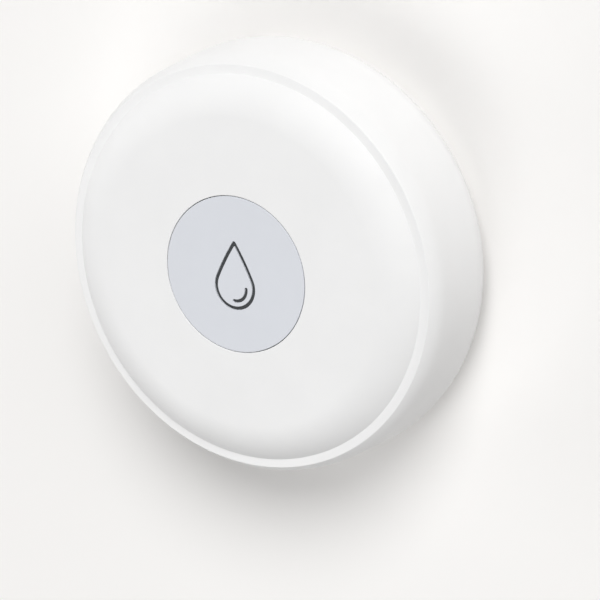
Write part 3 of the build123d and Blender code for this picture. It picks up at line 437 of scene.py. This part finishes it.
def buttonParts(b, s):
    # a turned body under a level face, with the groove's walls carried round the drop and the glint
    top, lip = b["top"], b["lip"]
    floor = top - b["grooveDepth"]
    # lip: a quarter round from the face into the wall of the groove
    quarter = np.linspace(0, np.pi / 2, b["lipSteps"] + 1)
    lipIn = np.column_stack([-lip + lip * np.sin(quarter), top - lip + lip * np.cos(quarter)])
    wall = [(-lip - lead, top), *lipIn.tolist(), (0, floor)]
    across = wall + [(s["stroke"] - inset, z) for inset, z in wall[::-1]]
    rim = b["radius"] - b["edgeRound"] - lead
    circle = arc((0, 0), rim, 0, 2 * np.pi, b["sides"])[:-1]
    body = softened(
        [
            (0, top, 0),
            (b["radius"], top, b["edgeRound"]),
            (b["radius"], b["flangeTop"], b["flangeRound"]),
            (b["flangeRadius"], b["flangeTop"], b["flangeRound"]),
            (b["flangeRadius"], b["flangeBottom"], b["flangeRound"]),
            (b["skirtInner"], b["flangeBottom"], b["flangeRound"]),
            (b["skirtInner"], b["underside"], b["stemRound"]),
            (b["stemRadius"], b["underside"], b["stemRound"]),
            (b["stemRadius"], b["stemBottom"], b["stemRound"]),
            (0, b["stemBottom"], 0),
        ]
    )
    return [
        lathe(body[1:], b["sides"], closed=False),  # without the middle of the top
        flatFill([circle, dropOutline(wall[0][0])], top),
        carried(dropOutline, across),
        flatFill([dropOutline(across[-1][0]), glintOutline(wall[0][0])], top),
        carried(glintOutline, wall),
        flatFill([glintOutline(0)], floor),
    ]


def ribParts(b):
    # each rib is an upright slab with softened lower edges, drawn along X and turned to its place
    half, soft = b["ribWidth"] / 2, b["ribRound"]
    top, low = b["underside"] + b["ribRoot"], b["ribBottom"]
    outline = [(-half, top), (-half, low + soft), (soft - half, low), (half - soft, low)]
    outline += [(half, low + soft), (half, top)]
    count = len(outline)
    ends = [np.column_stack([np.full(count, b[end]), outline]) for end in ("ribInner", "ribOuter")]
    # each end is six-sided and closed by two quads
    caps = [[0, 1, 4, 5], [1, 2, 3, 4], [11, 10, 7, 6], [10, 9, 8, 7]]
    faces = np.concatenate([gridFaces(2, count, False, True), caps])
    made = []
    for turn in 2 * np.pi * np.arange(b["ribs"]) / b["ribs"]:
        cos, sin = np.cos(turn), np.sin(turn)
        spin = np.array([[cos, sin, 0], [-sin, cos, 0], [0, 0, 1]])
        made.append((np.concatenate(ends) @ spin, faces))
    return made


def fillParts(b, s):
    # a thin layer on the groove's floor, the slack away from its walls
    low = b["top"] - b["grooveDepth"]
    high, edge = low + s["fill"], s["slack"]
    inner = s["stroke"] - edge
    ring = [(edge, low), (edge, high), (inner, high), (inner, low)]
    return [
        carried(dropOutline, ring, closed=True),
        carried(glintOutline, [(edge, low), (edge, high)]),
        flatFill([glintOutline(edge)], low),
        flatFill([glintOutline(edge)], high),
    ]


capParts = buttonParts(button, sign) + ribParts(button)
addPiece("buttonCap", capParts, "button", "white_button", ["button_cap"])
addPiece("signFill", fillParts(button, sign), "button", "sign_grey", ["drop_inlay"])
print("button made")

# silicone membrane under the button: clamped bead, raised fold, and a pad with a nub that works
# the switch
membrane = {
    "nubRadius": 1.5,
    "nubBottom": 12.25,
    "nubRound": 0.15,
    "webBottom": 12.9,
    "webTop": 13.3,
    "webRound": 0.1,
    "padRadius": 2.5,
    "padTop": 13.55,
    "padRound": 0.1,
    "fold": ((5.2, 0), (5.5, 0.25), (6.9, 0.25), (7.2, 0)),  # radius and rise
    "foldRound": 0.2,
    "beadInner": 10.44,
    "beadOuter": 12.24,
    "beadBottom": 12.7,
    "beadTop": 13.5,
    "beadRound": 0.15,
    "innerRound": 0.05,
    "pressed": 0.46,  # share of the height over the bead's seat that is left with the button down
    "sides": 144,
}


def membraneProfile(m):
    # along the underside to the bead, round it, and back over the fold and the pad
    fold, inner, bead = m["fold"], m["innerRound"], m["beadRound"]
    corners = [(0, m["nubBottom"], 0), (m["nubRadius"], m["nubBottom"], m["nubRound"])]
    corners += [(m["nubRadius"], m["webBottom"], m["webRound"])]
    corners += [(x, m["webBottom"] + z, m["foldRound"]) for x, z in fold]
    corners += [(m["beadInner"], m["webBottom"], inner), (m["beadInner"], m["beadBottom"], inner)]
    corners += [(m["beadOuter"], m["beadBottom"], bead), (m["beadOuter"], m["beadTop"], bead)]
    corners += [(m["beadInner"], m["beadTop"], inner), (m["beadInner"], m["webTop"], inner)]
    corners += [(x, m["webTop"] + z, m["foldRound"]) for x, z in fold[::-1]]
    corners += [(m["padRadius"], m["webTop"], inner), (m["padRadius"], m["padTop"], m["padRound"])]
    return softened(corners + [(0, m["padTop"], 0)])


skin = lathe(membraneProfile(membrane), membrane["sides"], closed=False)
sheet = addPiece("membrane", [skin], "case", "silicone", ["button_membrane"])
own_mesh(sheet)

# snap dome in the switch: a bowed steel disc that flattens under the plunger
dome = {
    "radius": 1.8,
    "seat": 9.9,
    "rise": 0.3,
    "thickness": 0.1,
    "pressed": 0.45,  # share of the height over the seat that is left with the switch pressed
    "sides": 96,
    "steps": 16,
}


def domeProfile(d):
    # an arc over the top, down the edge, and an arc back under it
    low, thick = d["seat"], d["thickness"]
    crown = low + d["rise"]
    over = arcTo((0, crown + thick), (d["radius"], low + thick), (1, 0), d["steps"])
    under = arcTo((0, crown), (d["radius"] - thick, low), (1, 0), d["steps"])
    return np.concatenate([over, [(d["radius"], low)], under[::-1]])


disc = lathe(domeProfile(dome), dome["sides"], closed=False)
spring = addPiece("snapDome", [disc], "case", "spring_metal", ["switch_dome"])
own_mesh(spring)
print("membrane and snap dome made")

# rubber feet: pads with a rounded edge and a shallow dish, pushed into the base
feet = {
    "circle": 16.95,
    "angles": (90, 210, 330),
    "radius": 3.0,
    "height": 0.95,
    "edgeRound": 0.3,
    "topRound": 0.05,
    "dishRadius": 2.0,
    "dishDepth": 0.07,
    "dishSlope": 2.0,  # run of its side for each unit of depth
    "dishRound": 0.1,
    "sides": 72,
}


def footParts(f):
    # the section from the middle of the dish out along the floor, up the side and in over the top,
    # turned round each foot's own axis
    dishEdge = f["dishRadius"] + f["dishSlope"] * f["dishDepth"]
    corners = [(0, f["dishDepth"], 0), (f["dishRadius"], f["dishDepth"], f["dishRound"])]
    corners += [(dishEdge, 0, f["dishRound"]), (f["radius"], 0, f["edgeRound"])]
    corners += [(f["radius"], f["height"], f["topRound"]), (0, f["height"], 0)]
    profile = softened(corners)
    turns = np.radians(f["angles"])
    centres = f["circle"] * np.stack([np.cos(turns), np.sin(turns)], -1)
    return [lathe(profile, f["sides"], centre, closed=False) for centre in centres]


addPiece("rubberFeet", footParts(feet), "case", "foot_rubber", ["feet"])
print("feet made")


def shaderOf(material):
    # the shader that a new material comes with
    return material.node_tree.nodes["Principled BSDF"]


def newFinish(name, colour, roughness, sockets=()):
    # a material whose shader has that colour and roughness, and the values of the other sockets
    material = bpy.data.materials.new(name)
    material.use_nodes = True
    shader = shaderOf(material)
    shader.inputs["Base Color"].default_value = (*colour, 1)
    shader.inputs["Roughness"].default_value = roughness
    for socket, value in dict(sockets).items():
        shader.inputs[socket].default_value = value
    return material


def addNode(material, kind, values=(), **settings):
    # values go to the node's sockets, settings to the node itself
    node = material.node_tree.nodes.new(kind)
    for key, value in settings.items():
        setattr(node, key, value)
    for key, value in dict(values).items():
        node.inputs[key].default_value = value
    return node


def join(material, source, node, socket):
    # source is an output, socket the name or number of the node's input
    material.node_tree.links.new(source, node.inputs[socket])


def inMillimetres(material, stretch=(1, 1, 1)):
    # object coordinates in millimetres, drawn out along an axis where the stretch is under 1
    place = addNode(material, "ShaderNodeTexCoord").outputs["Object"]
    scale = addNode(material, "ShaderNodeMapping", {"Scale": [s / mm for s in stretch]})
    join(material, place, scale, "Vector")
    return scale.outputs["Vector"]


def cloud(material, size, detail=3.0, stretch=(1, 1, 1)):
    # soft noise with spots about size millimetres across
    node = addNode(material, "ShaderNodeTexNoise", {"Scale": 1 / size, "Detail": detail})
    join(material, inMillimetres(material, stretch), node, "Vector")
    return node.outputs["Fac"]


def cells(material, size):
    # distance to the nearest of scattered points, about size millimetres apart
    node = addNode(material, "ShaderNodeTexVoronoi", {"Scale": 1 / size})
    join(material, inMillimetres(material), node, "Vector")
    return node.outputs["Distance"]


def stripes(material, scale, distortion=0.0, way="X"):
    # waves that follow each other the given way; a larger scale sets them closer
    values = {"Scale": scale, "Distortion": distortion}
    node = addNode(material, "ShaderNodeTexWave", values, bands_direction=way)
    join(material, inMillimetres(material), node, "Vector")
    return node.outputs["Fac"]


def ranged(material, value, low, high, start=0.3, end=0.7):
    # the value from start to end, which are the usual span of a cloud, becomes low to high
    ends = {"From Min": start, "From Max": end, "To Min": low, "To Max": high}
    node = addNode(material, "ShaderNodeMapRange", ends)
    join(material, value, node, "Value")
    return node.outputs["Result"]


def largest(material, values):
    # the largest of the values at each point
    most = values[0]
    for value in values[1:]:
        node = addNode(material, "ShaderNodeMath", operation="MAXIMUM")
        join(material, most, node, 0)
        join(material, value, node, 1)
        most = node.outputs[0]
    return most


# a Mix node has other sockets for colours than for numbers
colourMix = {"factor": 0, "first": 6, "second": 7, "result": 2}
numberMix = {"factor": 0, "first": 2, "second": 3, "result": 0}


def tinted(material, value, first, second, start=0.3, end=0.7):
    # the colour runs from first to second as the value goes from start to end
    mix = addNode(material, "ShaderNodeMix", data_type="RGBA")
    mix.inputs[colourMix["first"]].default_value = (*first, 1)
    mix.inputs[colourMix["second"]].default_value = (*second, 1)
    join(material, ranged(material, value, 0, 1, start, end), mix, colourMix["factor"])
    join(material, mix.outputs[colourMix["result"]], shaderOf(material), "Base Color")


def glossed(material, value, low, high):
    # the roughness runs from low to high over the usual span of a cloud
    join(material, ranged(material, value, low, high), shaderOf(material), "Roughness")


def raised(material, value, depth):
    # relief of that depth in millimetres, on top of what the finish already has
    shader = shaderOf(material)
    bump = addNode(material, "ShaderNodeBump", {"Distance": depth * mm, "Strength": 1.0})
    join(material, value, bump, "Height")
    if shader.inputs["Normal"].is_linked:
        join(material, shader.inputs["Normal"].links[0].from_socket, bump, "Normal")
    join(material, bump.outputs["Normal"], shader, "Normal")


def shades(colour, spread):
    # the same colour a little darker and a little lighter
    return [tuple(np.clip(np.array(colour) * (1 + s), 0, 1)) for s in (-spread, spread)]


def shifted(roughness, shift):
    # the two ends of a roughness that wanders round its own value
    return [roughness + s for s in shift]


# in the finishes a pattern's number is about how wide its spots are and a depth is its relief, both
# in millimetres; a glossRange is the roughness itself and a glossShift is added to it
plastic = {
    "ior": 1.46,
    "flow": 7.0,
    "glossSpot": 1.6,
    "glossShift": (-0.05, 0.05),
    "sink": 3.5,
    "sinkShare": 1.5,  # depth of the sink marks for each unit of the grain's
}


def mouldedPlastic(name, colour, roughness, grain=0.11, depth=0.002, spread=0.012):
    # spark-eroded mould texture, faint flow clouds and slightly uneven gloss
    p = plastic
    material = newFinish(name, colour, roughness, {"IOR": p["ior"]})
    tinted(material, cloud(material, p["flow"]), *shades(colour, spread))
    glossed(material, cloud(material, p["glossSpot"]), *shifted(roughness, p["glossShift"]))
    raised(material, cloud(material, p["sink"], detail=1.0), depth * p["sinkShare"])
    raised(material, cloud(material, grain, detail=2.0), depth)
    return material


ink = {
    "roughness": 0.55,
    "specular": 0.3,
    "pigment": 0.25,
    "pigmentSpread": 0.25,
    "glossSpot": 0.18,
    "glossRange": (0.45, 0.7),
    "grain": 0.07,
    "depth": 0.004,
}


def grooveInk(name, colour):
    # matt paint in the groove, with settled pigment and a rough skin
    material = newFinish(name, colour, ink["roughness"], {"Specular IOR Level": ink["specular"]})
    tinted(material, cloud(material, ink["pigment"]), *shades(colour, ink["pigmentSpread"]))
    glossed(material, cloud(material, ink["glossSpot"]), *ink["glossRange"])
    raised(material, cloud(material, ink["grain"], detail=2.0), ink["depth"])
    return material


rubber = {
    "specular": 0.35,
    "dust": 0.5,
    "dustShare": 0.7,  # what dust leaves of the colour
    "dustGrey": 0.06,
    "dustEdge": (0.45, 0.75),
    "glossSpot": 0.8,
    "glossShift": (-0.08, 0.12),
    "skin": 0.16,
    "skinDepth": 0.006,
    "wave": 1.1,
    "waveDepth": 0.01,
}


def mouldedRubber(name, colour, roughness):
    # fine skin with specks of dust and talc
    r = rubber
    material = newFinish(name, colour, roughness, {"Specular IOR Level": r["specular"]})
    dusty = tuple(np.array(colour) * r["dustShare"] + r["dustGrey"])
    tinted(material, cloud(material, r["dust"], detail=6.0), colour, dusty, *r["dustEdge"])
    glossed(material, cloud(material, r["glossSpot"]), *shifted(roughness, r["glossShift"]))
    raised(material, cells(material, r["skin"]), r["skinDepth"])
    raised(material, cloud(material, r["wave"]), r["waveDepth"])
    return material


silicone = {
    "roughness": 0.45,
    "scatter": 0.3,
    "scatterDepth": 2.0,
    "tint": 2.0,
    "tintSpread": 0.03,
    "glossSpot": 0.6,
    "glossRange": (0.38, 0.52),
    "grain": 0.2,
    "depth": 0.004,
}


def clearSilicone(name, colour):
    # light goes a little way in under a slightly uneven, satin skin
    s = silicone
    inside = {"Subsurface Weight": s["scatter"], "Subsurface Scale": s["scatterDepth"] * mm}
    material = newFinish(name, colour, s["roughness"], inside)
    tinted(material, cloud(material, s["tint"]), *shades(colour, s["tintSpread"]))
    glossed(material, cloud(material, s["glossSpot"]), *s["glossRange"])
    raised(material, cloud(material, s["grain"]), s["depth"])
    return material


plating = {"dulling": 1.2, "glossSpot": 0.7, "glossShift": (-0.08, 0.12)}


def platedMetal(name, colour, roughness, drawn=(1, 1, 1), grain=0.25, depth=0.002, spread=0.07):
    # plating over drawn or stamped stock: fine lines or pits, cloudy gloss, a little dulling
    p = plating
    material = newFinish(name, colour, roughness, {"Metallic": 1.0})
    tinted(material, cloud(material, p["dulling"], detail=5.0), *shades(colour, spread))
    glossSpots = cloud(material, p["glossSpot"], detail=4.0)
    glossed(material, glossSpots, *shifted(roughness, p["glossShift"]))
    raised(material, cloud(material, grain, detail=4.0, stretch=drawn), depth)
    return material


turning = {"spread": 0.03, "wander": 0.4, "depth": 0.004}


def turnedMetal(name, colour, roughness, pitch=0.12):
    # rings left by the turning tool along Z, closer for a smaller pitch, over faint clouds
    material = platedMetal(name, colour, roughness, spread=turning["spread"])
    rings = stripes(material, 1 / pitch, turning["wander"], "Z")
    raised(material, rings, turning["depth"])
    return material


# scales are per millimetre, edges are where a pattern's value turns from lacquer to copper
mask = {
    "roughness": 0.25,
    "coat": 0.4,
    "coatRoughness": 0.12,
    "patchScale": 0.19,
    "patchJitter": 0.7,
    "patchEdge": (0.5, 0.51),
    "trackScale": 0.42,
    "trackEdge": (0.78, 0.86),
    "viaSpacing": 3.4,
    "viaEdge": (0.1, 0.12),
    "copperDepth": 0.03,
    "weaveScale": 2.2,
    "weaveWander": 0.6,
    "weaveDepth": 0.004,
    "glossSpot": 2.5,
    "glossRange": (0.2, 0.34),
}


def solderMask(name, colour, track):
    # lacquer over copper on woven glass: in each square patch the tracks run along X or along Y,
    # with a round via here and there; the copper shows paler and stands a little proud
    m = mask
    coat = {"Coat Weight": m["coat"], "Coat Roughness": m["coatRoughness"]}
    material = newFinish(name, colour, m["roughness"], coat)
    patches = addNode(
        material,
        "ShaderNodeTexVoronoi",
        {"Scale": m["patchScale"], "Randomness": m["patchJitter"]},
        voronoi_dimensions="2D",
        distance="CHEBYCHEV",
    )
    join(material, inMillimetres(material), patches, "Vector")
    which = ranged(material, patches.outputs["Color"], 0, 1, *m["patchEdge"])
    tracks = addNode(material, "ShaderNodeMix")
    join(material, which, tracks, numberMix["factor"])
    for way, socket in (("X", "first"), ("Y", "second")):
        bands = stripes(material, m["trackScale"], way=way)
        join(material, ranged(material, bands, 0, 1, *m["trackEdge"]), tracks, numberMix[socket])
    vias = ranged(material, cells(material, m["viaSpacing"]), 1, 0, *m["viaEdge"])
    copper = largest(material, [tracks.outputs[numberMix["result"]], vias])
    tinted(material, copper, colour, track, 0, 1)
    raised(material, copper, m["copperDepth"])
    raised(material, stripes(material, m["weaveScale"], m["weaveWander"]), m["weaveDepth"])
    glossed(material, cloud(material, m["glossSpot"]), *m["glossRange"])
    return material


epoxy = {
    "speck": 0.06,
    "speckGrey": 0.05,
    "speckEdge": (0.55, 0.75),
    "glossSpot": 0.9,
    "glossShift": (-0.08, 0.1),
    "grain": 0.08,
    "depth": 0.003,
}


def chipBlack(name, colour, roughness):
    # filled epoxy: tiny glass specks and a matt, slightly pitted skin
    e = epoxy
    material = newFinish(name, colour, roughness)
    grey = tuple(np.array(colour) + e["speckGrey"])
    tinted(material, cloud(material, e["speck"], detail=2.0), colour, grey, *e["speckEdge"])
    glossed(material, cloud(material, e["glossSpot"]), *shifted(roughness, e["glossShift"]))
    raised(material, cloud(material, e["grain"]), e["depth"])
    return material


capacitor = {
    "middle": 14.6,  # of the row along X
    "halfBody": 0.5,
    "blend": 0.02,
    "roughness": 0.5,
    "glossSpot": 0.3,
    "glossRange": (0.38, 0.55),
    "grain": 0.1,
    "depth": 0.004,
}


def cappedCeramic(name, colour, metal):
    # fired ceramic with tinned ends: past halfBody from the middle along X the surface is metal
    c = capacitor
    material = newFinish(name, colour, c["roughness"])
    apart = addNode(material, "ShaderNodeSeparateXYZ")
    join(material, inMillimetres(material), apart, "Vector")
    away = addNode(material, "ShaderNodeMath", {1: c["middle"]}, operation="SUBTRACT")
    join(material, apart.outputs["X"], away, 0)
    reach = addNode(material, "ShaderNodeMath", operation="ABSOLUTE")
    join(material, away.outputs[0], reach, 0)
    edge = (c["halfBody"] - c["blend"], c["halfBody"] + c["blend"])
    ends = ranged(material, reach.outputs[0], 0, 1, *edge)
    tinted(material, ends, colour, metal, 0, 1)
    join(material, ends, shaderOf(material), "Metallic")
    glossed(material, cloud(material, c["glossSpot"]), *c["glossRange"])
    raised(material, cloud(material, c["grain"]), c["depth"])
    return material


gold, nickel, tin = (0.83, 0.62, 0.3), (0.66, 0.62, 0.54), (0.7, 0.7, 0.69)
finishes = {
    "white_shell": mouldedPlastic("mouldedWhite", (0.852, 0.852, 0.852), 0.62),
    "white_button": mouldedPlastic(
        "buttonWhite", (0.668, 0.688, 0.733), 0.42, grain=0.09, depth=0.0015, spread=0.008
    ),
    "sign_grey": grooveInk("signGrey", (0.035, 0.039, 0.042)),
    "white_base": mouldedPlastic("baseWhite", (0.8, 0.8, 0.79), 0.48, grain=0.14, depth=0.004),
    "door_white": mouldedPlastic("doorWhite", (0.79, 0.79, 0.785), 0.46, grain=0.12, depth=0.004),
    "foot_rubber": mouldedRubber("footRubber", (0.07, 0.07, 0.074), 0.62),
    "seal_rubber": mouldedRubber("sealRubber", (0.02, 0.02, 0.022), 0.5),
    "silicone": clearSilicone("silicone", (0.66, 0.68, 0.7)),
    "screw_steel": platedMetal("zincSteel", (0.6, 0.62, 0.65), 0.34, drawn=(1, 1, 0.3)),
    "probe_gilt": turnedMetal("giltSteel", gold, 0.26),
    "post_brass": turnedMetal("turnedBrass", (0.75, 0.6, 0.32), 0.3, pitch=0.2),
    "board_green": solderMask("greenMask", (0.012, 0.12, 0.05), (0.03, 0.2, 0.09)),
    "black_plastic": chipBlack("chipBlack", (0.016, 0.016, 0.018), 0.52),
    "holder_plastic": mouldedPlastic(
        "holderBlack", (0.03, 0.03, 0.033), 0.5, grain=0.15, depth=0.005, spread=0.15
    ),
    "retainer_plastic": mouldedPlastic(
        "retainerWhite", (0.74, 0.74, 0.72), 0.5, grain=0.15, depth=0.004
    ),
    "spring_metal": platedMetal("nickelStrip", nickel, 0.28, drawn=(0.1, 1, 1), grain=0.12),
    "cell_steel": platedMetal(
        "cellSteel", (0.64, 0.65, 0.66), 0.24, drawn=(0.08, 1, 1), grain=0.1, depth=0.0015
    ),
    "cell_gasket_plastic": mouldedPlastic("gasketGrey", (0.05, 0.055, 0.07), 0.45, spread=0.1),
    "cell_filling": chipBlack("pressedPowder", (0.02, 0.02, 0.02), 0.8),
    "shield_metal": platedMetal("tinPlate", tin, 0.3, drawn=(0.15, 1, 1), grain=0.15),
    "track_copper": platedMetal("giltTrack", gold, 0.3),
    "pin_tin": platedMetal("tinnedPin", tin, 0.36),
    "ceramic": cappedCeramic("cappedCeramic", (0.36, 0.25, 0.16), tin),
    "radio_board_black": solderMask("blackMask", (0.008, 0.011, 0.02), (0.02, 0.026, 0.04)),
}
for entry in frame["record"]["subparts"]:
    data = nodes[entry["node"]].data
    data.materials.clear()
    data.materials.append(finishes[entry["material_slot"]])
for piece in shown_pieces():
    if not piece.data.materials:
        piece.data.materials.append(finishes[piece["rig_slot"]])

# floor: one plain pale sheet of paper
floor = {"half": 400.0, "colour": (0.942, 0.93, 0.916), "roughness": 0.8}
side = np.array([-1, 1]) * floor["half"]
corners = np.stack([*np.meshgrid(side, side, indexing="ij"), np.zeros((2, 2))], -1).reshape(-1, 3)
plate = bpy.data.meshes.new("floor")
plate.from_pydata((corners * mm).tolist(), [], gridFaces(2, 2).tolist())
ground = bpy.data.objects.new("floor", plate)
scene.collection.objects.link(ground)
plate.materials.append(
    newFinish("floorPaper", floor["colour"], floor["roughness"], {"Specular IOR Level": 0.0})
)

# lamps: round soft boxes, each at a bearing from +X towards +Y and a height over the floor, both
# in degrees
studio = {"distance": 3000.0, "width": 1670.0}
lamps = {
    "key": {"bearing": 68, "height": 42, "watts": 64.2},
    "right": {"bearing": 35, "height": 29, "watts": 16.3},
    "left": {"bearing": 180, "height": 12, "watts": 23.0},
    "front": {"bearing": 225, "height": 55, "watts": 13.1},
    "foot": {"bearing": 270, "height": 55, "watts": 20.5},
}


def addLamp(name, lamp):
    # the lamp's direction times its distance from the origin, which it faces
    data = bpy.data.lights.new(name, "AREA")
    data.shape, data.size, data.energy = "DISK", studio["width"] * mm, lamp["watts"]
    light = bpy.data.objects.new(name, data)
    bearing, height = np.radians(lamp["bearing"]), np.radians(lamp["height"])
    level = np.array([np.cos(bearing), np.sin(bearing), 0]) * np.cos(height)
    light.location = (level + (0, 0, np.sin(height))) * studio["distance"] * mm
    light.rotation_euler = light.location.to_track_quat("Z", "Y").to_euler()
    light.visible_camera = False
    scene.collection.objects.link(light)


for name, lamp in lamps.items():
    addLamp(name, lamp)

# a little light from all round; what the camera, gloss and glass see of the room is near white
room = {"fill": 0.1, "seen": 0.94, "colour": (1.0, 0.99, 0.975)}
world = bpy.data.worlds.new("room")
world.use_nodes = True
backdrop = world.node_tree.nodes["Background"]
backdrop.inputs["Color"].default_value = (*room["colour"], 1)
rays = addNode(world, "ShaderNodeLightPath").outputs
seen = largest(world, [rays["Is Camera Ray"], rays["Is Glossy Ray"], rays["Is Transmission Ray"]])
join(world, ranged(world, seen, room["fill"], room["seen"], 0, 1), backdrop, "Strength")
scene.world = world
print("floor and lamps set")
